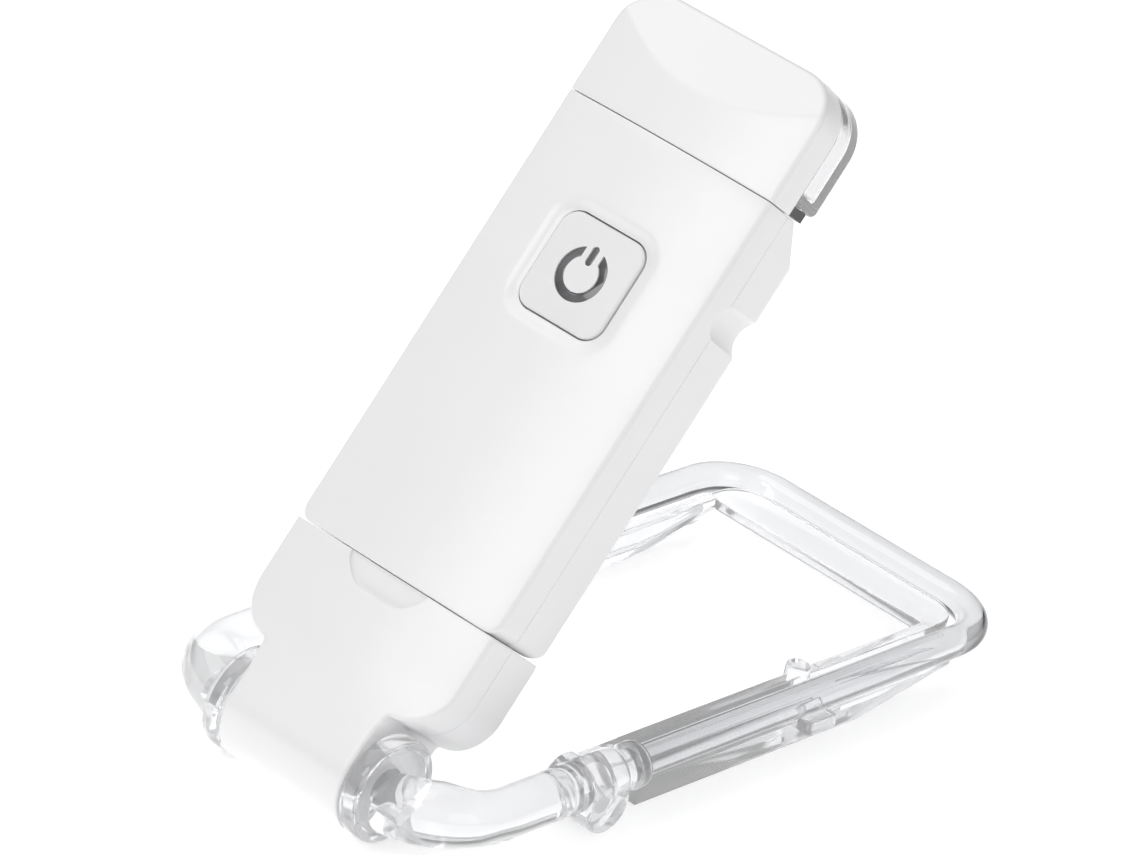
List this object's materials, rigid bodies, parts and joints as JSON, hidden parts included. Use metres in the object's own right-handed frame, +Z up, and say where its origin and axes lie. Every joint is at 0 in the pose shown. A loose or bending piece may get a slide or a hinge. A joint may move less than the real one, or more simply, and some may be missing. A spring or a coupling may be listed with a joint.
{
  "type": "clip-on reading lamp",
  "caption": "Slim rechargeable reading lamp bar with a power button, a light head and a USB plug under its cap, tilting on a clear sprung page clip.",
  "frame": {"origin": "middle of the footprint at rest, on the surface that the clip lies on", "axes": "+X along the tilt hinge, +Y along the clip from the hinge to its cross tube, +Z up, square to the clip"},
  "size_m": [0.0506, 0.1062, 0.0868],
  "materials": {
    "white_shell": "satin white moulded ABS",
    "white_key": "satin white moulded ABS",
    "smoke_insert": "smoked translucent light pipe",
    "clear_clip": "clear polycarbonate, polished",
    "clear_jaw": "clear polycarbonate, polished",
    "clear_lens": "clear polycarbonate lens",
    "reflector": "white reflector plate",
    "led_board": "white solder mask",
    "led": "phosphor coated LED",
    "pcb": "green solder mask",
    "chip": "black epoxy",
    "battery": "aluminium laminate pouch",
    "wire": "insulated wire",
    "screw_steel": "zinc plated steel",
    "plug_steel": "nickel plated steel",
    "plug_tongue": "white nylon",
    "contact_gold": "gold plated",
    "pin_steel": "dark oxide steel",
    "washer_steel": "stainless steel",
    "spring_steel": "spring steel",
    "sleeve": "nylon sleeve",
    "black_catch": "black nylon"
  },
  "bodies": {
    "clip": {"clip_arm_left": "clear_clip", "clip_arm_right": "clear_clip", "clip_loop": "clear_clip", "hinge_pins": "pin_steel", "friction_washers": "washer_steel", "jaw_pins": "pin_steel", "jaw_springs": "spring_steel"},
    "jaw": {"jaw_frame": "clear_jaw"},
    "cap": {"cap_front_shell": "white_shell", "cap_back_shell": "white_shell", "plug_sleeve": "sleeve"},
    "lamp": {"body_front_shell": "white_shell", "body_back_shell": "white_shell", "head_cover": "white_shell", "head_lens": "clear_lens", "reflector_plate": "reflector", "led_board": "led_board", "led_chips": "led", "lens_clips": "black_catch", "battery_leads": "wire", "led_leads": "wire", "main_board": "pcb", "board_screws": "screw_steel", "battery_cell": "battery", "tact_switch": "chip", "indicator_leds": "led", "board_components": "chip", "usb_plug_shell": "plug_steel", "usb_tongue": "plug_tongue", "usb_contacts": "contact_gold"},
    "button": {"power_button": "white_key", "button_symbol": "smoke_insert"}
  },
  "joints": [
    {"name": "lamp_tilt", "type": "hinge", "parent": "clip", "child": "cap", "pos_m": [0, -0.0465, 0.0066], "axis": [1, 0, 0], "range_deg": [-46.5, 125]},
    {"name": "jaw_open", "type": "hinge", "parent": "clip", "child": "jaw", "pos_m": [0, -0.0225, 0.0041], "axis": [-1, 0, 0], "range_deg": [0, 25], "stiffness_Nm_per_rad": 0.08, "springref_deg": -34.38},
    {"name": "cap_pull", "type": "slide", "parent": "cap", "child": "lamp", "axis": [0, 0.5736, 0.8192], "range_m": [0, 0.02]},
    {"name": "button_press", "type": "slide", "parent": "lamp", "child": "button", "axis": [0, 0.8192, -0.5736], "range_m": [0, 0.00035], "stiffness_N_per_m": 3000, "springref_m": -0.0003}
  ]
}
